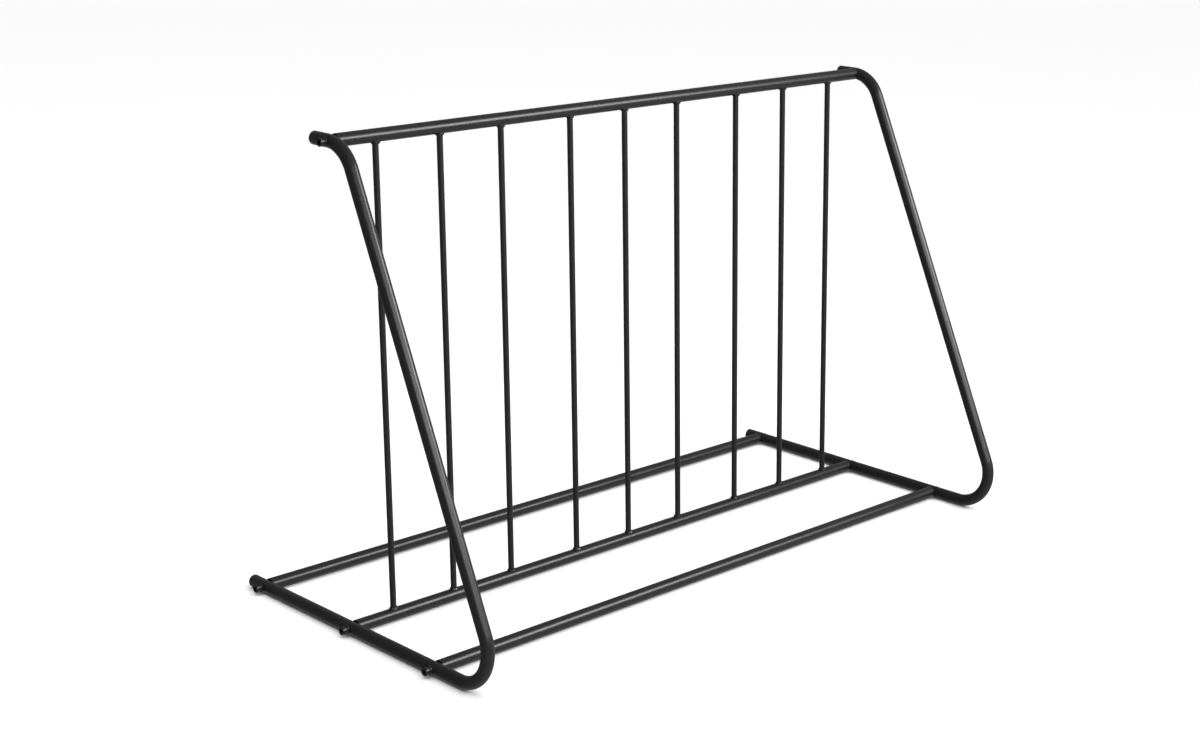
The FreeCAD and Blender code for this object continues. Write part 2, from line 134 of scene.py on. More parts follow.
class RackSizes(bpy.types.PropertyGroup):
    """Sizes of the rack that the frame's boxes don't give."""

    bend_radius: FloatProperty(
        name="Bend Radius", description="Radius of the end frame's bends at the tube's middle",
        default=0.075, unit="LENGTH",
    )
    leg_lean: FloatProperty(
        name="Leg Lean", description="Angle between the end frame's leg and the upright",
        default=math.radians(25.1), subtype="ANGLE",
    )
    tube_wall: FloatProperty(
        name="Tube Wall", description="Wall of the frame and rail tube",
        default=0.0015, unit="LENGTH",
    )
    picket_wall: FloatProperty(
        name="Picket Wall", description="Wall of the picket tube", default=0.0012, unit="LENGTH",
    )
    saddle_clearance: FloatProperty(
        name="Saddle Clearance", description="Room between the frame and a rail's notched end or a washer",
        default=0.0002, unit="LENGTH",
    )
    edge_rounding: FloatProperty(
        name="Edge Rounding", description="Rounding of the cut tube ends", default=0.0003, unit="LENGTH",
    )
    weld_leg: FloatProperty(
        name="Weld Leg", description="Width of a weld bead on the rail", default=0.0027, unit="LENGTH",
    )
    weld_rise: FloatProperty(
        name="Weld Rise", description="Height of a weld bead on the picket", default=0.0042, unit="LENGTH",
    )
    weld_ripples: IntProperty(
        name="Weld Ripples", description="Ripples round one weld bead", default=13, min=3,
    )
    cap_flats: FloatProperty(
        name="Cap Flats", description="Width across the flats of a cap screw's socket",
        default=0.008, unit="LENGTH",
    )
    cap_socket: FloatProperty(
        name="Cap Socket", description="Depth of a cap screw's socket", default=0.005, unit="LENGTH",
    )
    cap_chamfer: FloatProperty(
        name="Cap Chamfer", description="Chamfer round a cap screw's head", default=0.0008, unit="LENGTH",
    )
    button_land: FloatProperty(
        name="Button Land", description="Diameter of the flat on top of a button head",
        default=0.008, unit="LENGTH",
    )
    button_flats: FloatProperty(
        name="Button Flats", description="Width across the flats of a button head's socket",
        default=0.006, unit="LENGTH",
    )
    button_socket: FloatProperty(
        name="Button Socket", description="Depth of a button head's socket", default=0.0032, unit="LENGTH",
    )
    thread_od: FloatProperty(
        name="Thread Diameter", description="Outer diameter of a screw's thread",
        default=0.01, unit="LENGTH",
    )
    hole_clearance: FloatProperty(
        name="Hole Clearance", description="Room round a screw's thread in a washer",
        default=0.0003, unit="LENGTH",
    )
    thread_pitch: FloatProperty(
        name="Thread Pitch", description="Rise of a screw's thread in one turn",
        default=0.0015, unit="LENGTH",
    )
    plug_edge: FloatProperty(
        name="Plug Edge", description="Rounding of a plug's cap", default=0.002, unit="LENGTH",
    )


class RackColours(bpy.types.PropertyGroup):
    """Colours of the rack's finishes and of the stage."""

    coat: FloatVectorProperty(
        name="Powder Coat", description="Black of the powder-coated tube",
        default=(0.0095, 0.0095, 0.01), subtype="COLOR", min=0.0, max=1.0,
    )
    # On the inserts this black also serves as painted shade in the notches at the rail ends.
    screw: FloatVectorProperty(
        name="Screw", description="Black oxide of the screws, washers and inserts",
        default=(0.045, 0.045, 0.048), subtype="COLOR", min=0.0, max=1.0,
    )
    plug: FloatVectorProperty(
        name="Plug", description="Moulded plastic of the tube plugs",
        default=(0.011, 0.011, 0.0112), subtype="COLOR", min=0.0, max=1.0,
    )
    floor: FloatVectorProperty(
        name="Floor", description="Pale studio floor",
        default=(0.86, 0.86, 0.86), subtype="COLOR", min=0.0, max=1.0,
    )


# Node trees


class Value:
    """A number in a node tree. Arithmetic with it adds math nodes."""

    def __init__(self, tree, socket):
        self.tree = tree
        self.socket = socket

    def __add__(self, other):
        return self.tree.math("ADD", self, other)

    def __radd__(self, other):
        return self.tree.math("ADD", other, self)

    def __sub__(self, other):
        return self.tree.math("SUBTRACT", self, other)

    def __rsub__(self, other):
        return self.tree.math("SUBTRACT", other, self)

    def __mul__(self, other):
        return self.tree.math("MULTIPLY", self, other)

    def __rmul__(self, other):
        return self.tree.math("MULTIPLY", other, self)

    def __truediv__(self, other):
        return self.tree.math("DIVIDE", self, other)


class Tree:
    """A node tree with short calls that fill it."""

    def __init__(self, nodes_of):
        self.nodes = nodes_of.nodes
        self.links = nodes_of.links

    def feed(self, socket, value):
        """Link a value into a socket, or set the socket to a plain number."""
        if isinstance(value, Value):
            value = value.socket
        if isinstance(value, bpy.types.NodeSocket):
            self.links.new(value, socket)
        else:
            socket.default_value = value

    def add(self, kind, inputs=None, **settings):
        """A new node with its settings and inputs."""
        node = self.nodes.new(kind)
        for setting, choice in settings.items():
            setattr(node, setting, choice)
        for key, value in (inputs or {}).items():
            self.feed(node.inputs[key], value)
        return node

    def math(self, operation, *values):
        """The result of a math node."""
        node = self.add("ShaderNodeMath", dict(enumerate(values)), operation=operation)
        return Value(self, node.outputs[0])

    def root(self, value):
        """The square root, or zero where the value is below zero."""
        return self.math("SQRT", self.math("MAXIMUM", value, 0.0))

    def split(self, vector):
        """The three parts of a vector."""
        node = self.add("ShaderNodeSeparateXYZ", {0: vector})
        return [Value(self, socket) for socket in node.outputs]

    def join(self, x, y, z):
        """A vector from its three parts."""
        return self.add("ShaderNodeCombineXYZ", {0: x, 1: y, 2: z}).outputs[0]


class ShapeTree(Tree):
    """A Geometry Nodes tree with named inputs."""

    def __init__(self, name):
        self.group = bpy.data.node_groups.new(name, "GeometryNodeTree")
        super().__init__(self.group)
        self.group.interface.new_socket("Geometry", in_out="INPUT", socket_type="NodeSocketGeometry")
        self.group.interface.new_socket("Geometry", in_out="OUTPUT", socket_type="NodeSocketGeometry")
        self.entry = self.nodes.new("NodeGroupInput")
        self.geometry = self.entry.outputs["Geometry"]

    def ask(self, name, kind="Float"):
        """A new named input."""
        self.group.interface.new_socket(name, in_out="INPUT", socket_type="NodeSocket" + kind)
        return Value(self, self.entry.outputs[name])

    def capture(self, geometry, kind, value):
        """Geometry that remembers a value, and the remembered value."""
        node = self.add("GeometryNodeCaptureAttribute", {"Geometry": geometry})
        node.capture_items.new(kind, "Kept")
        self.feed(node.inputs["Kept"], value)
        return node.outputs["Geometry"], node.outputs["Kept"]

    def finish(self, geometry):
        """End the tree with real geometry that carries its finish."""
        finish = self.ask("Finish", "Material")
        real = self.add("GeometryNodeRealizeInstances", {"Geometry": geometry})
        painted = self.add("GeometryNodeSetMaterial", {"Geometry": real.outputs[0], "Material": finish})
        leave = self.nodes.new("NodeGroupOutput")
        self.links.new(painted.outputs[0], leave.inputs["Geometry"])
        return self.group


def bent_tube_tree():
    """A tube swept along a line of straight runs, with a bend at each corner."""
    tree = ShapeTree("bent tube")
    line = tree.add("GeometryNodeMeshToCurve", {"Mesh": tree.geometry})
    bent = tree.add("GeometryNodeFilletCurve", {
        "Curve": line.outputs[0], "Count": tree.ask("Bend Steps", "Int"), "Radius": tree.ask("Bend Radius"),
    }, mode="POLY")
    section = tree.add("GeometryNodeCurvePrimitiveCircle", {
        "Resolution": tree.ask("Sides", "Int"), "Radius": tree.ask("Tube Radius"),
    })
    tube = tree.add("GeometryNodeCurveToMesh", {
        "Curve": bent.outputs[0], "Profile Curve": section.outputs[0],
    })
    return tree.finish(tube.outputs[0])


def coped_tube(tree):
    """A tube about Z, notched at both ends to round bars that run along X."""
    radius = tree.ask("Tube Radius")
    wall = tree.ask("Wall")
    ring = tree.add("GeometryNodeCurvePrimitiveCircle", {
        "Resolution": tree.ask("Sides", "Int"), "Radius": radius - wall / 2.0,
    })
    section = tree.add("GeometryNodeCurvePrimitiveQuadrilateral", {
        "Width": wall, "Height": tree.ask("Span"),
    })
    tube = tree.add("GeometryNodeCurveToMesh", {
        "Curve": ring.outputs[0], "Profile Curve": section.outputs[0],
    })
    x, y, z = tree.split(tree.add("GeometryNodeInputPosition").outputs[0])
    bend_radius = tree.ask("Bar Bend Radius")
    into_bend = tree.math("MAXIMUM", tree.ask("Bar Bend Start") - x, 0.0)
    over_centre = y + bend_radius
    height = tree.root(into_bend * into_bend + over_centre * over_centre) - bend_radius
    saddle = tree.ask("Saddle Radius")
    cut_back = tree.root(saddle * saddle - height * height)
    cut_back = tree.math("MAXIMUM", cut_back, tree.ask("Lip Setback"))
    coped_z = z - tree.math("SIGN", z) * cut_back
    coped = tree.add("GeometryNodeSetPosition", {
        "Geometry": tube.outputs[0], "Position": tree.join(x, y, coped_z),
    })
    return coped.outputs[0]


def rail_tree():
    """One rail, laid along X at its place."""
    tree = ShapeTree("rail")
    tube = coped_tube(tree)
    laid = tree.add("GeometryNodeTransform", {
        "Geometry": tube, "Translation": tree.ask("Place", "Vector"),
        "Rotation": Euler((QUARTER_TURN, 0.0, QUARTER_TURN)),
    })
    return tree.finish(laid.outputs[0])


def picket_points(tree):
    """Points in groups along X: one at each picket."""
    triplet = tree.add("GeometryNodeMeshLine", {
        "Count": tree.ask("Pickets In Group", "Int"),
        "Offset": tree.join(tree.ask("Narrow Pitch"), 0.0, 0.0),
    })
    groups = tree.add("GeometryNodeMeshLine", {
        "Count": tree.ask("Groups", "Int"), "Start Location": tree.ask("First Place", "Vector"),
        "Offset": tree.join(tree.ask("Group Pitch"), 0.0, 0.0),
    })
    placed = tree.add("GeometryNodeInstanceOnPoints", {
        "Points": groups.outputs[0], "Instance": triplet.outputs[0],
    })
    return tree.add("GeometryNodeRealizeInstances", {"Geometry": placed.outputs[0]}).outputs[0]


def picket_tree():
    """The row of pickets, each coped to the rails below and above it."""
    tree = ShapeTree("picket row")
    tube = coped_tube(tree)
    row = tree.add("GeometryNodeInstanceOnPoints", {
        "Points": picket_points(tree), "Instance": tube, "Rotation": tree.ask("Lean", "Rotation"),
    })
    return tree.finish(row.outputs[0])


def bead_row(tree, face_steps):
    """A plain ring at each picket, with what each of its points knows.

    That is its picket's number and place, its step round the section and its angle round the picket.
    """
    section_radius = 0.1
    around = tree.add("GeometryNodeCurvePrimitiveCircle", {
        "Resolution": tree.ask("Steps Around", "Int"), "Radius": 1.0,
    })
    section = tree.add("GeometryNodeCurvePrimitiveCircle", {
        "Resolution": face_steps + 2, "Radius": section_radius,
    })
    index = tree.add("GeometryNodeInputIndex").outputs[0]
    section, step = tree.capture(section.outputs[0], "INT", index)
    ring = tree.add("GeometryNodeCurveToMesh", {
        "Curve": around.outputs[0], "Profile Curve": section,
    })
    position = tree.add("GeometryNodeInputPosition").outputs[0]
    ring, on_ring = tree.capture(ring.outputs[0], "VECTOR", position)
    points, number = tree.capture(picket_points(tree), "INT", index)
    points, place = tree.capture(points, "VECTOR", position)
    row = tree.add("GeometryNodeInstanceOnPoints", {"Points": points, "Instance": ring})
    row = tree.add("GeometryNodeRealizeInstances", {"Geometry": row.outputs[0]})
    ring_x, ring_y, _ = tree.split(on_ring)
    angle = tree.math("ARCTAN2", ring_y, ring_x)
    return row.outputs[0], Value(tree, number), place, Value(tree, step), angle


def bead_noise(tree, place, shift, scale, detail):
    """Smooth noise about zero. Beads with another shift get other noise."""
    noise_middle = 0.5
    noise = tree.add("ShaderNodeTexNoise", {
        "Vector": place, "W": shift, "Scale": scale, "Detail": detail,
    }, noise_dimensions="4D")
    return Value(tree, noise.outputs[0]) - noise_middle


def weld_tree():
    """The weld beads on one rail: a rippled fillet round the end of each picket."""
    tree = ShapeTree("weld beads")
    face_steps = 9
    width_shift, lump_shift = 7.3, 3.1
    leg_change, rise_change = 1.2, 0.8
    crown_lift = 0.6
    row, number, place, step, angle = bead_row(tree, face_steps)
    beside = tree.math("SINE", angle)
    along = tree.math("COSINE", angle)
    uneven = bead_noise(
        tree, tree.join(along, beside, 0.0), number * width_shift + tree.ask("Seed"), scale=1.1, detail=2.0,
    )
    picket = tree.ask("Picket Radius")
    rail = tree.ask("Rail Radius")
    leg = tree.ask("Leg") * (uneven * leg_change + 1.0)
    rise = tree.ask("Rise") * (uneven * rise_change + 1.0)

    share = tree.math("MINIMUM", step / float(face_steps), 1.0)
    at_root = tree.math("GREATER_THAN", step, face_steps + 0.5)
    bulge = tree.math("SINE", share * math.pi)
    wave = tree.math("ABSOLUTE", tree.math("SINE", angle * tree.ask("Ripples") / 2.0))
    front = tree.math("MAXIMUM", beside * tree.ask("Front"), 0.0)
    lumps = bead_noise(
        tree, tree.join(along, beside, share), number * lump_shift + tree.ask("Lump Seed"),
        scale=3.6, detail=1.0,
    )
    lumps = lumps * tree.ask("Lump Height")
    ripple = wave * tree.ask("Ripple Height")
    crown = bulge * (tree.ask("Crown") + front * tree.ask("Front Crown") + ripple + lumps)
    sunk = 1.0 - at_root
    toe = tree.ask("Sunk Toe")
    reach = (leg * share + crown) * sunk - toe
    out = picket + reach
    offset = out * beside
    rail_top = tree.root(rail * rail - offset * offset)
    above = (rise * (1.0 - share) + crown * crown_lift) * sunk - toe * share
    height = rail_top + above - at_root * toe
    bead = tree.add("ShaderNodeVectorRotate", {
        "Vector": tree.join(out * along, offset, height), "Angle": tree.ask("Lean"),
    }, rotation_type="X_AXIS")
    placed = tree.add("ShaderNodeVectorMath", {0: bead.outputs[0], 1: place}, operation="ADD")
    beads = tree.add("GeometryNodeSetPosition", {
        "Geometry": row, "Position": placed.outputs[0],
    })
    return tree.finish(beads.outputs[0])


def copies_tree():
    """A copy of a pattern at each point, turned to face one way and spun about its own axis."""
    tree = ShapeTree("copies at points")
    pattern = tree.add("GeometryNodeObjectInfo", {"Object": tree.ask("Pattern", "Object")})
    spin = tree.add("FunctionNodeRandomValue", {
        "Max": tree.ask("Spin"), "Seed": tree.ask("Seed", "Int"),
    }, data_type="FLOAT")
    spin = next(socket for socket in spin.outputs if socket.enabled)
    spun = tree.add("FunctionNodeEulerToRotation", {0: tree.join(0.0, 0.0, spin)})
    facing = tree.add("FunctionNodeRotateRotation", {
        "Rotation": tree.ask("Facing", "Rotation"), "Rotate By": spun.outputs[0],
    }, rotation_space="LOCAL")
    points = tree.add("GeometryNodeMeshToPoints", {"Mesh": tree.geometry})
    row = tree.add("GeometryNodeInstanceOnPoints", {
        "Points": points.outputs[0], "Instance": pattern.outputs["Geometry"],
        "Rotation": facing.outputs[0],
    })
    return tree.finish(row.outputs[0])


# Finishes

# Nearly all of a noise texture lies between these two values
NOISE_LOW = 0.3
NOISE_HIGH = 0.7


class Finish(Tree):
    """A material with one main shader, and patterns on Object coordinates."""

    def __init__(self, name):
        self.material = bpy.data.materials.new(name)
        self.material.use_nodes = True
        super().__init__(self.material.node_tree)
        self.shader = next(node for node in self.nodes if node.type == "BSDF_PRINCIPLED")
        self.place = self.add("ShaderNodeTexCoord").outputs["Object"]

    def noise(self, size, detail=2.0):
        """Cloudy noise whose features are about a given size in metres."""
        node = self.add("ShaderNodeTexNoise", {
            "Vector": self.place, "Scale": 1.0 / size, "Detail": detail,
        })
        return node.outputs[0]

    def blend(self, share, low, high):
        """A number that runs from low to high with a share."""
        node = self.add("ShaderNodeMapRange", {
            "Value": share, "From Min": NOISE_LOW, "From Max": NOISE_HIGH, "To Min": low, "To Max": high,
        })
        return node.outputs[0]

    def tint(self, share, colour, low, high):
        """A colour that runs from darker to lighter with a share."""
        ramp = self.add("ShaderNodeValToRGB", {"Fac": share})
        for element, strength in zip(ramp.color_ramp.elements, (low, high)):
            element.color = (*(strength * part for part in colour), 1.0)
        self.feed(self.shader.inputs["Base Color"], ramp.outputs[0])

    def bump(self, height, depth, below=None):
        """A bump of a given depth in metres, on top of another."""
        node = self.add("ShaderNodeBump", {"Height": height, "Distance": depth})
        if below is not None:
            self.feed(node.inputs["Normal"], below)
        return node.outputs[0]

    def set(self, **values):
        """Set or link the main shader's own inputs."""
        for name, value in values.items():
            self.feed(self.shader.inputs[name.replace("_", " ")], value)
        return self.material


def black_coat(name, low_gloss, high_gloss):
    """Black powder coat: fine orange peel over long, faint waves of gloss."""
    finish = Finish(name)
    clouds = finish.noise(size=30.0 * MILLIMETRE, detail=3.0)
    finish.tint(clouds, bpy.context.scene.rack_colours.coat, low=0.85, high=1.15)
    waves = finish.bump(finish.noise(size=4.0 * MILLIMETRE), depth=0.06 * MILLIMETRE)
    peel = finish.noise(size=0.9 * MILLIMETRE, detail=3.0)
    peel = finish.bump(peel, depth=0.02 * MILLIMETRE, below=waves)
    patches = finish.noise(size=12.0 * MILLIMETRE, detail=4.0)
    return finish.set(Roughness=finish.blend(patches, low_gloss, high_gloss), Normal=peel, IOR=1.5)


def powder_coat():
    """The semi-gloss coat of the tubes."""
    return black_coat("black powder coat", low_gloss=0.27, high_gloss=0.33)


def weld_coat():
    """The coat on the welds, where it runs thicker and glossier."""
    return black_coat("black powder coat on welds", low_gloss=0.12, high_gloss=0.2)


def black_oxide():
    """Black oxide on the screws: dark metal with a little bare steel showing through."""
    finish = Finish("black oxide steel")
    wear = finish.noise(size=1.5 * MILLIMETRE, detail=4.0)
    finish.tint(wear, bpy.context.scene.rack_colours.screw, low=0.7, high=1.6)
    grain = finish.bump(finish.noise(size=0.35 * MILLIMETRE), depth=0.015 * MILLIMETRE)
    gloss = finish.blend(finish.noise(size=1.1 * MILLIMETRE, detail=3.0), low=0.26, high=0.42)
    return finish.set(Metallic=0.85, Roughness=gloss, Normal=grain)


def moulded_plastic():
    """Satin moulded plastic with a fine spark-eroded grain."""
    finish = Finish("moulded plug plastic")
    clouds = finish.noise(size=6.0 * MILLIMETRE, detail=3.0)
    finish.tint(clouds, bpy.context.scene.rack_colours.plug, low=0.85, high=1.2)
    grain = finish.bump(finish.noise(size=0.3 * MILLIMETRE), depth=0.02 * MILLIMETRE)
    gloss = finish.blend(finish.noise(size=4.0 * MILLIMETRE, detail=3.0), low=0.42, high=0.52)
    return finish.set(Roughness=gloss, Normal=grain, IOR=1.49)


FINISHES = {}


def finish_of(make):
    """The material that a function makes, made only once."""
    if make not in FINISHES:
        FINISHES[make] = make()
    return FINISHES[make]


# Making pieces

HEAD_FOOT_EDGE = 0.2 * MILLIMETRE


def new_object(name, points=(), edges=()):
    """A mesh object at the origin, in the scene."""
    mesh = bpy.data.meshes.new(name)
    mesh.from_pydata([tuple(point) for point in points], list(edges), [])
    piece = bpy.data.objects.new(name, mesh)
    bpy.context.scene.collection.objects.link(piece)
    return piece


def grow(name, group, sizes, points=(), edges=(), wall=0.0, rounding=0.0):
    """A piece from a shape tree, given its sizes, as a plain mesh."""
    piece = new_object(name, points, edges)
    shape = piece.modifiers.new("shape", "NODES")
    shape.node_group = group
    for item in group.interface.items_tree:
        if item.in_out == "INPUT" and item.socket_type != "NodeSocketGeometry":
            shape[item.identifier] = sizes[item.name]
    if wall:
        shell = piece.modifiers.new("wall", "SOLIDIFY")
        shell.thickness = wall
        shell.use_even_offset = True
    if rounding:
        edge = piece.modifiers.new("rounded ends", "BEVEL")
        edge.width = rounding
        edge.segments = ROUNDING_STEPS
        edge.angle_limit = CUT_EDGE_LIMIT
    shape_mesh = piece.data
    scene_now = bpy.context.evaluated_depsgraph_get()
    piece.data = bpy.data.meshes.new_from_object(piece.evaluated_get(scene_now), depsgraph=scene_now)
    piece.modifiers.clear()
    bpy.data.meshes.remove(shape_mesh)
    if not piece.data.polygons:
        raise RuntimeError(f"{name} has no faces")
    piece.data.name = name
    piece.data.shade_smooth()
    piece.data.set_sharp_from_angle(angle=SMOOTH_LIMIT)
    return piece


def settle(piece, slot, *nodes):
    """Hand a finished piece to the frame in place of its nodes."""
    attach(piece, "root")
    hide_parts(*nodes)


def circle(radius, height):
    """A turned ring: the point at an angle."""
    return lambda angle: (radius * math.cos(angle), radius * math.sin(angle), height)


def skin_rings(name, rings, steps, bored=False):
    """A closed pattern from rings about Z, with a pole at each end or a bore between them."""
    shell = bmesh.new()
    rows = []
    for ring in rings:
        rows.append([shell.verts.new(ring(FULL_TURN * step / steps)) for step in range(steps)])
    joined = list(zip(rows, rows[1:]))
    if bored:
        joined.append((rows[-1], rows[0]))
    for lower, upper in joined:
        for step in range(steps):
            after = (step + 1) % steps
            shell.faces.new((lower[step], lower[after], upper[after], upper[step]))
    ends = () if bored else ((rows[0], -1), (rows[-1], 1))
    for row, way in ends:
        pole = shell.verts.new(sum((vert.co for vert in row), Vector()) / steps)
        for step in range(steps):
            shell.faces.new((row[step], row[(step + 1) % steps], pole)[::way])
    bmesh.ops.recalc_face_normals(shell, faces=shell.faces)
    pattern = new_object(name)
    shell.to_mesh(pattern.data)
    shell.free()
    return pattern


def socket_rings(to_flat, floor, mouth_height):
    """A hexagon socket from the pit of its drill up to its countersunk mouth."""
    countersink = 0.4 * MILLIMETRE
    pit_radius = 0.3 * to_flat
    pit_depth = 0.25 * to_flat
    drill_radius = 0.8 * to_flat
    mouth_radius = 1.2 * to_flat
    flat_turn = FULL_TURN / 6

    def hexagon(height):
        def point(angle):
            from_flat = (angle % flat_turn) - flat_turn / 2
            return circle(to_flat / math.cos(from_flat), height)(angle)
        return point

    return [
        circle(pit_radius, floor - pit_depth),
        circle(drill_radius, floor),
        hexagon(floor),
        hexagon(mouth_height - countersink),
        circle(mouth_radius, mouth_height),
    ]


def cap_head(fixing):
    """The rings of a cap screw's knurled head, from the socket out and down to its underside."""
    sizes = bpy.context.scene.rack_sizes
    ridges = 36
    knurl_depth = 0.18 * MILLIMETRE
    knurl_end = 0.3 * MILLIMETRE
    collar = 1.2 * MILLIMETRE
    radius, top = fixing.head_radius, fixing.head_height
    chamfer = sizes.cap_chamfer
    chamfer_bulge = 0.3 * chamfer
    knurl_start = 1.3 * chamfer

    def knurled(height):
        def point(angle):
            ridge = round(angle * ridges * 2 / FULL_TURN) % 2
            return circle(radius - knurl_depth * ridge, height)(angle)
        return point

    return socket_rings(sizes.cap_flats / 2, top - sizes.cap_socket, top) + [
        circle(radius - chamfer, top),
        circle(radius - chamfer_bulge, top - chamfer_bulge),
        circle(radius, top - chamfer),
        knurled(top - knurl_start),
        knurled(collar + knurl_end),
        circle(radius, collar),
        circle(radius, HEAD_FOOT_EDGE),
        circle(radius - HEAD_FOOT_EDGE, 0.0),
    ]


def button_head(fixing):
    """The rings of a low domed head, from the socket out and down to its underside."""
    sizes = bpy.context.scene.rack_sizes
    dome_steps = 8
    radius, top = fixing.head_radius, fixing.head_height
    land = sizes.button_land / 2
    centre = (land * land + top * top - radius * radius) / (2 * top)
    ball = math.hypot(radius, centre)
    rings = socket_rings(sizes.button_flats / 2, top - sizes.button_socket, top)
    for step in range(dome_steps + 1):
        out = land + (radius - land) * step / dome_steps
        rings.append(circle(out, centre + math.sqrt(ball * ball - out * out)))
    rings.append(circle(radius - HEAD_FOOT_EDGE, 0.0))
    return rings


def screw_pattern(fixing, head):
    """A screw: its head stands on z = 0 and its thread hangs below."""
    sizes = bpy.context.scene.rack_sizes
    shank = sizes.thread_od / 2
    plain_shank = 0.3 * fixing.length
    rows_per_pitch = 5
    thread_depth = 0.54 * sizes.thread_pitch
    tip_length = 0.6 * sizes.thread_pitch
    tip_taper = 1.6 * thread_depth

    def threaded(height):
        def point(angle):
            turn = (height / sizes.thread_pitch - angle / FULL_TURN) % 1.0
            return circle(shank - thread_depth * abs(2 * turn - 1), height)(angle)
        return point

    rings = head(fixing)
    rings.append(circle(shank, 0.0))
    rings.append(circle(shank, -plain_shank))
    row_height = sizes.thread_pitch / rows_per_pitch
    thread_rows = round((fixing.length - plain_shank) / row_height) - rows_per_pitch
    for row in range(1, thread_rows):
        rings.append(threaded(-plain_shank - row * row_height))
    rings.append(circle(shank - thread_depth, -fixing.length + tip_length))
    rings.append(circle(shank - tip_taper, -fixing.length))
    return skin_rings("screw pattern", rings, SCREW_SIDES)


def washer_pattern(fixing):
    """A saddle washer: flat at z = 0 under the screw's head, and hollowed to the tube below."""
    sizes = bpy.context.scene.rack_sizes
    saddle_steps = 5
    edge = 0.3 * MILLIMETRE
    hole = sizes.thread_od / 2 + sizes.hole_clearance
    rim = fixing.washer_radius
    hollow = TUBE_RADIUS + sizes.saddle_clearance
    crest = fixing.seat - TUBE_RADIUS

    def saddle(radius):
        def point(angle):
            x, y, _ = circle(radius, 0.0)(angle)
            drop = hollow - math.sqrt(hollow * hollow - x * x)
            return x, y, -min(crest + drop, fixing.washer_height)
        return point

    rings = [
        circle(hole, -edge),
        circle(hole + edge, 0.0),
        circle(rim - edge, 0.0),
        circle(rim, -edge),
    ]
    for step in range(saddle_steps + 1):
        rings.append(saddle(rim + step / saddle_steps * (hole - rim)))
    return skin_rings("washer pattern", rings, TUBE_SIDES, bored=True)


def plug_pattern():
    """A tube plug: a rounded cap above z = 0 and a hollow barrel with push-in lips below."""
    sizes = bpy.context.scene.rack_sizes
    edge_steps = 6
    dome_shares = (0.1, 0.4, 0.7)
    dome = 0.3 * MILLIMETRE
    seam = 0.5 * MILLIMETRE
    wall = 1.6 * MILLIMETRE
    lips = 2
    lip = 0.6 * MILLIMETRE
    lip_pitch = 5.0 * MILLIMETRE
    lip_crest = 0.9 * lip
    tip_edge = 0.5 * lip
    cup_dip = 0.2 * MILLIMETRE
    barrel = TUBE_RADIUS - sizes.tube_wall - lip
    cup = barrel - wall
    cup_pole = 0.1 * cup
    flat = TUBE_RADIUS - sizes.plug_edge
    rings = []
    for share in dome_shares:
        rings.append(circle(share * flat, PLUG_HEAD - dome * share * share))
    top = PLUG_HEAD - dome
    for step in range(edge_steps + 1):
        angle = QUARTER_TURN * step / edge_steps
        rings.append(circle(
            flat + sizes.plug_edge * math.sin(angle), top - sizes.plug_edge * (1 - math.cos(angle)),
        ))
    rings.append(circle(TUBE_RADIUS, seam))
    rings.append(circle(TUBE_RADIUS - seam, 0.0))
    rings.append(circle(barrel, 0.0))
    for number in range(1, lips + 1):
        foot = -number * lip_pitch
        rings.append(circle(barrel, foot + lip))
        rings.append(circle(barrel + lip_crest, foot + lip))
        rings.append(circle(barrel, foot))
    rings.append(circle(barrel, tip_edge - PLUG_LENGTH))
    rings.append(circle(barrel - tip_edge, -PLUG_LENGTH))
    rings.append(circle(cup, -PLUG_LENGTH))
    rings.append(circle(cup, -cup_dip))
    rings.append(circle(cup_pole, 0.0))
    return skin_rings("plug pattern", rings, TUBE_SIDES)


def place_copies(name, pattern, points, facing, spin, seed, finish):
    """A piece made of a pattern's copies."""
    sizes = {"Pattern": pattern, "Facing": facing, "Spin": spin, "Seed": seed, "Finish": finish}
    return grow(name, copies_tree(), sizes, points)


# Operators

# A bar without a bend gets one this far out, where it never reaches a notch
FAR_BEND = 1.0

# Seeds for the turn of each screw and plug
FIXING_SEED = 5
PLUG_SEED = 2


def foot_bend_y():
    """Where the middle of the end frame's foot bend lies along Y."""
    return TOE_Y + bpy.context.scene.rack_sizes.bend_radius + TUBE_RADIUS


class RACK_OT_end_frames(bpy.types.Operator):
    """Bend each end frame from one tube: base, foot bend, leg, top bend and stub"""

    bl_idname = "rack.end_frames"
    bl_label = "End Frames"

    def execute(self, context):
        sizes = context.scene.rack_sizes
        group = bent_tube_tree()
        base_z = RAIL_PLACES["back_rail"].z
        stub_z = RAIL_PLACES["top_rail"].z
        half_bend = math.pi / 4 + sizes.leg_lean / 2
        foot_y = foot_bend_y() - sizes.bend_radius * math.tan(half_bend)
        top_y = foot_y + (stub_z - base_z) * math.tan(sizes.leg_lean)
        for side, x in FRAME_X.items():
            corners = [
                (x, BASE_END, base_z), (x, foot_y, base_z), (x, top_y, stub_z), (x, STUB_END, stub_z),
            ]
            piece = grow(f"end_frame_tube_{side}", group, {
                "Tube Radius": TUBE_RADIUS, "Bend Radius": sizes.bend_radius, "Bend Steps": BEND_STEPS,
                "Sides": TUBE_SIDES, "Finish": finish_of(powder_coat),
            }, corners, [(0, 1), (1, 2), (2, 3)], sizes.tube_wall, sizes.edge_rounding)
            settle(piece, "powder_coat", "end_frame_" + side)
        return {"FINISHED"}


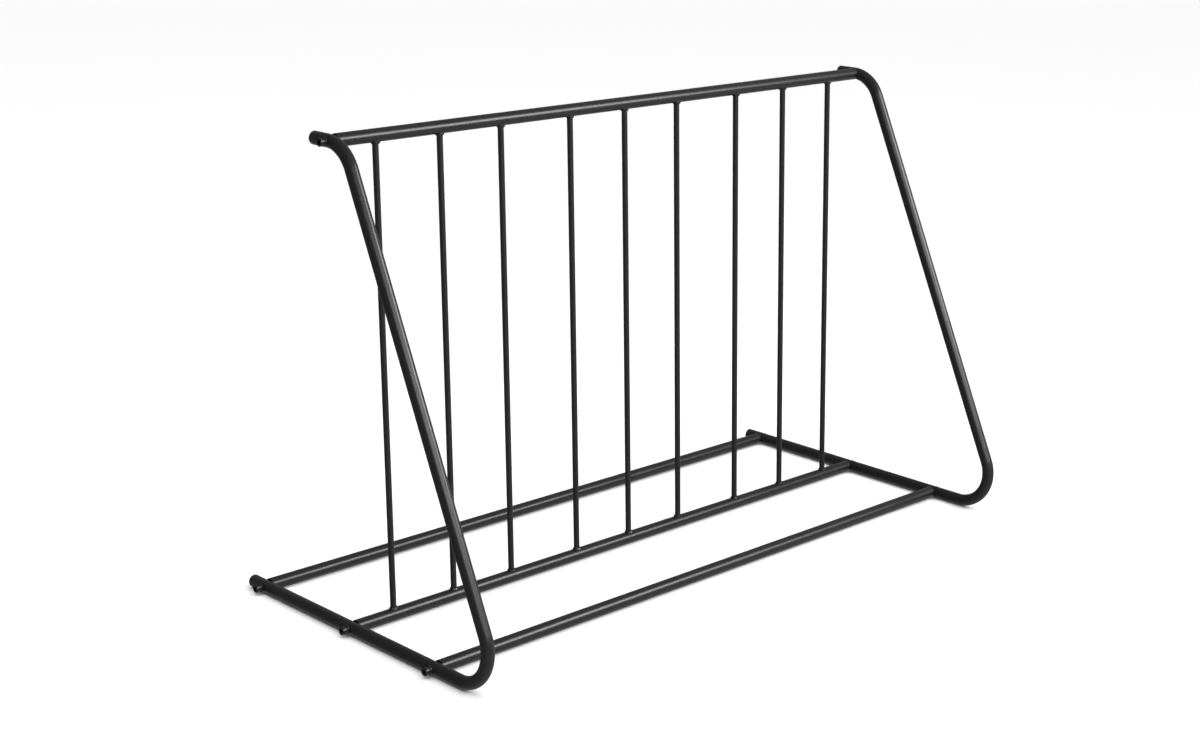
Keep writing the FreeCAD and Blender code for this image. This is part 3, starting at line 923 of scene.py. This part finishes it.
class RACK_OT_rails(bpy.types.Operator):
    """Cut the four rails with ends notched to the end frames"""

    bl_idname = "rack.rails"
    bl_label = "Rails"

    def execute(self, context):
        sizes = context.scene.rack_sizes
        group = rail_tree()
        rise = RAIL_PLACES["top_rail"].z - RAIL_PLACES["back_rail"].z
        top_bend_y = foot_bend_y() + (rise - 2 * sizes.bend_radius) * math.tan(sizes.leg_lean)
        bend_starts = {name: -FAR_BEND for name in RAILS}
        bend_starts["top_rail"] = top_bend_y - RAIL_PLACES["top_rail"].y
        for name, place in RAIL_PLACES.items():
            piece = grow(name + "_tube", group, {
                "Tube Radius": TUBE_RADIUS, "Wall": sizes.tube_wall, "Sides": TUBE_SIDES,
                "Span": FRAME_X["right"] - FRAME_X["left"],
                "Bar Bend Radius": sizes.bend_radius, "Bar Bend Start": bend_starts[name],
                "Saddle Radius": TUBE_RADIUS + sizes.saddle_clearance,
                "Lip Setback": LIP_SETBACK, "Place": place,
                "Finish": finish_of(powder_coat),
            })
            settle(piece, "powder_coat", name)
        return {"FINISHED"}


def picket_spacing():
    """The named inputs that place a point at each picket."""
    first, second = (middle_of(name).x for name in PICKETS[:2])
    next_group = middle_of(PICKETS[PICKETS_IN_GROUP]).x
    return {
        "Pickets In Group": PICKETS_IN_GROUP, "Groups": PICKET_GROUPS,
        "Narrow Pitch": second - first, "Group Pitch": next_group - first,
    }


class RACK_OT_pickets(bpy.types.Operator):
    """Stand the nine pickets between the middle rail and the top rail"""

    bl_idname = "rack.pickets"
    bl_label = "Pickets"

    def execute(self, context):
        sizes = context.scene.rack_sizes
        place = (RAIL_PLACES["middle_rail"] + RAIL_PLACES["top_rail"]) / 2
        place.x = middle_of(PICKETS[0]).x
        piece = grow("pickets", picket_tree(), {
            "Tube Radius": PICKET_RADIUS, "Wall": sizes.picket_wall, "Sides": PICKET_SIDES,
            "Span": GRID_RUN.length, "Bar Bend Radius": FAR_BEND, "Bar Bend Start": -FAR_BEND,
            "Saddle Radius": TUBE_RADIUS, "Lip Setback": 0.0, "Lean": Euler((-GRID_LEAN, 0.0, 0.0)),
            "First Place": place, "Finish": finish_of(powder_coat), **picket_spacing(),
        })
        settle(piece, "powder_coat", *PICKETS)
        return {"FINISHED"}


class RACK_OT_welds(bpy.types.Operator):
    """Lay a rippled fillet weld round both ends of every picket"""

    bl_idname = "rack.welds"
    bl_label = "Welds"

    def execute(self, context):
        sizes = context.scene.rack_sizes
        group = weld_tree()
        for name, rail, lean, front, seed in (
            ("bottom_welds", "middle_rail", -GRID_LEAN, -1.0, 3.0),
            ("top_welds", "top_rail", math.pi - GRID_LEAN, 1.0, 11.0),
        ):
            place = RAIL_PLACES[rail].copy()
            place.x = middle_of(PICKETS[0]).x
            piece = grow(name + "_beads", group, {
                "Steps Around": STEPS_PER_RIPPLE * sizes.weld_ripples, "Seed": seed,
                "Picket Radius": PICKET_RADIUS, "Rail Radius": TUBE_RADIUS,
                "Leg": sizes.weld_leg, "Rise": sizes.weld_rise,
                "Ripples": float(sizes.weld_ripples), "Ripple Height": 0.35 * MILLIMETRE,
                "Crown": 0.35 * MILLIMETRE, "Front": front,
                "Front Crown": 0.8 * MILLIMETRE, "Lump Height": 3.0 * MILLIMETRE, "Lump Seed": 2.0,
                "Sunk Toe": 0.3 * MILLIMETRE, "Lean": lean,
                "First Place": place, "Finish": finish_of(weld_coat), **picket_spacing(),
            })
            settle(piece, "powder_coat", name)
        return {"FINISHED"}


def place_fixings(name, side, pattern, spin):
    """A piece with a pattern's copy on each screw's seat on one side, in place of that pattern."""
    way = SIDES[side]
    x = FRAME_X[side] + way * fixing_of(side).seat
    seats = [(x, place.y, place.z) for place in RAIL_PLACES.values()]
    facing = Euler((0.0, way * QUARTER_TURN, 0.0))
    piece = place_copies(
        f"{name}_{side}", pattern, seats, facing, spin, FIXING_SEED + way, finish_of(black_oxide),
    )
    bpy.data.objects.remove(pattern)
    return piece


class RACK_OT_screws(bpy.types.Operator):
    """Drive a cap screw into each rail through the left end frame, and a button head on the right"""

    bl_idname = "rack.screws"
    bl_label = "Screws"

    def execute(self, context):
        heads = {"left": ("cap_screws", cap_head), "right": ("button_screws", button_head)}
        for side, (name, head) in heads.items():
            piece = place_fixings(name, side, screw_pattern(fixing_of(side), head), FULL_TURN)
            settle(piece, "screw_black", "frame_bolts_" + side)
        return {"FINISHED"}


class RACK_OT_washers(bpy.types.Operator):
    """Put a saddle washer between each screw's head and the end frame"""

    bl_idname = "rack.washers"
    bl_label = "Washers"

    def execute(self, context):
        for side in SIDES:
            piece = place_fixings("saddle_washers", side, washer_pattern(fixing_of(side)), 0.0)
            settle(piece, "screw_black", "frame_washers_" + side)
        return {"FINISHED"}


class RACK_OT_plugs(bpy.types.Operator):
    """Push a rounded plug into each free tube end"""

    bl_idname = "rack.plugs"
    bl_label = "Plugs"

    def execute(self, context):
        pattern = plug_pattern()
        ends = {
            "base": (BASE_END, RAIL_PLACES["back_rail"].z), "top": (STUB_END, RAIL_PLACES["top_rail"].z),
        }
        for end, (y, z) in ends.items():
            points = [(x, y, z) for x in FRAME_X.values()]
            piece = place_copies(
                f"{end}_tube_plugs", pattern, points, Euler((-QUARTER_TURN, 0.0, 0.0)),
                FULL_TURN, PLUG_SEED, finish_of(moulded_plastic),
            )
            settle(piece, "plug_plastic", *(f"{end}_plug_{side}" for side in SIDES))
        bpy.data.objects.remove(pattern)
        return {"FINISHED"}


class RACK_OT_inserts(bpy.types.Operator):
    """Give the threaded inserts inside the rail ends black oxide, which also stands in for painted shade in
    the notch at each rail end
    """

    bl_idname = "rack.inserts"
    bl_label = "Inserts"

    def execute(self, context):
        for side in SIDES:
            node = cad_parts["rail_inserts_" + side]
            for slot in node.material_slots:
                # The screws' black oxide, chosen dark here also as painted shade: the insert's face fills
                # the notch at each rail end where the hollow lies in shade.
                slot.material = finish_of(black_oxide)
        return {"FINISHED"}


# The stage

CAMERA_PLACE = Vector((-2.87895, -2.8422, 1.546))
CAMERA_AZIMUTH = math.radians(-44.045)
CAMERA_ELEVATION = math.radians(15.849)
CAMERA_ROLL = math.radians(0.974)
CAMERA_LENS = 61.47
SENSOR_WIDTH = 36.0
FLOOR_HALF = 40.0


def soft_light(name, place, aim, width, height, power):
    """A soft box that faces a point."""
    light = bpy.data.lights.new(name, "AREA")
    light.shape = "RECTANGLE"
    light.size = width
    light.size_y = height
    light.energy = power
    lamp = bpy.data.objects.new(name, light)
    lamp.location = place
    lamp.rotation_euler = (Vector(aim) - Vector(place)).to_track_quat("-Z", "Y").to_euler()
    bpy.context.scene.collection.objects.link(lamp)


def studio_room(bright_side, low, high):
    """A room whose light is stronger from one side, and whose far wall is plain white."""
    world = bpy.data.worlds.new("studio")
    world.use_nodes = True
    tree = Tree(world.node_tree)
    side = tree.add("ShaderNodeVectorMath", {
        0: tree.add("ShaderNodeTexCoord").outputs["Generated"], 1: bright_side,
    }, operation="DOT_PRODUCT")
    strength = tree.add("ShaderNodeMapRange", {
        "Value": side.outputs["Value"], "From Min": -1.0, "From Max": 1.0, "To Min": low, "To Max": high,
    }, interpolation_type="SMOOTHSTEP")
    wall = tree.add("ShaderNodeLightPath").outputs["Is Camera Ray"]
    background = next(node for node in tree.nodes if node.type == "BACKGROUND")
    background.inputs["Color"].default_value = (1.0, 1.0, 1.0, 1.0)
    tree.feed(background.inputs["Strength"], tree.math("MAXIMUM", strength.outputs[0], wall))
    return world


def overhead_light(name, strength, spread):
    """An even, soft light from straight above."""
    light = bpy.data.lights.new(name, "SUN")
    light.energy = strength
    light.angle = spread
    lamp = bpy.data.objects.new(name, light)
    lamp.visible_glossy = False
    bpy.context.scene.collection.objects.link(lamp)


def floor_finish():
    """A matt, pale floor."""
    finish = Finish("pale floor")
    finish.tint(finish.noise(size=0.8), bpy.context.scene.rack_colours.floor, low=0.995, high=1.005)
    return finish.set(Roughness=0.9)


class RACK_OT_stage(bpy.types.Operator):
    """Set the pale floor, the soft light and the camera"""

    bl_idname = "rack.stage"
    bl_label = "Stage"

    def execute(self, context):
        scene = context.scene
        floor = new_object("floor")
        shell = bmesh.new()
        bmesh.ops.create_grid(shell, x_segments=2, y_segments=2, size=FLOOR_HALF)
        shell.to_mesh(floor.data)
        shell.free()
        floor.data.materials.append(floor_finish())
        floor.visible_glossy = False

        scene.world = studio_room(bright_side=Vector((0.6, -0.6, -0.5)), low=0.1, high=0.45)
        scene.view_settings.view_transform = "Standard"
        overhead_light("overhead", strength=3.0, spread=QUARTER_TURN)
        soft_light(
            "front right", place=(2.2, -2.9, 2.3), aim=(-0.4, 0.0, 0.5), width=1.9, height=1.6, power=105.0,
        )
        soft_light(
            "front", place=(-1.2, -4.6, 2.6), aim=(-0.6, 0.0, 0.5), width=4.4, height=1.3, power=105.0,
        )

        camera = bpy.data.cameras.new("photo camera")
        camera.sensor_fit = "HORIZONTAL"
        camera.sensor_width = SENSOR_WIDTH
        camera.lens = CAMERA_LENS
        view = bpy.data.objects.new("photo camera", camera)
        view.matrix_world = (
            Matrix.Translation(CAMERA_PLACE)
            @ Matrix.Rotation(CAMERA_AZIMUTH, 4, "Z")
            @ Matrix.Rotation(QUARTER_TURN - CAMERA_ELEVATION, 4, "X")
            @ Matrix.Rotation(CAMERA_ROLL, 4, "Z")
        )
        scene.collection.objects.link(view)
        scene.camera = view
        return {"FINISHED"}


OPERATORS = (
    RACK_OT_end_frames, RACK_OT_rails, RACK_OT_pickets, RACK_OT_welds,
    RACK_OT_screws, RACK_OT_washers, RACK_OT_plugs, RACK_OT_inserts, RACK_OT_stage,
)


class RACK_PT_panel(bpy.types.Panel):
    """Sizes, colours and buttons of the rack"""

    bl_label = "Floor Rack"
    bl_idname = "RACK_PT_panel"
    bl_space_type = "VIEW_3D"
    bl_region_type = "UI"
    bl_category = "Rack"

    def draw(self, context):
        column = self.layout.column()
        for group in (context.scene.rack_sizes, context.scene.rack_colours):
            for name in group.__annotations__:
                column.prop(group, name)
        for operator in OPERATORS:
            column.operator(operator.bl_idname)


CLASSES = (RackSizes, RackColours, *OPERATORS, RACK_PT_panel)


def register():
    """Add the rack's classes and settings to Blender."""
    for item in CLASSES:
        bpy.utils.register_class(item)
    bpy.types.Scene.rack_sizes = PointerProperty(type=RackSizes)
    bpy.types.Scene.rack_colours = PointerProperty(type=RackColours)


def unregister():
    """Take the rack's settings and classes away again."""
    del bpy.types.Scene.rack_colours
    del bpy.types.Scene.rack_sizes
    for item in reversed(CLASSES):
        bpy.utils.unregister_class(item)


def main():
    """Make the pieces and the stage."""
    register()
    bpy.ops.rack.end_frames()
    bpy.ops.rack.rails()
    bpy.ops.rack.pickets()
    bpy.ops.rack.welds()
    bpy.ops.rack.screws()
    bpy.ops.rack.washers()
    bpy.ops.rack.plugs()
    bpy.ops.rack.inserts()
    bpy.ops.rack.stage()


if __name__ == "__main__":
    main()
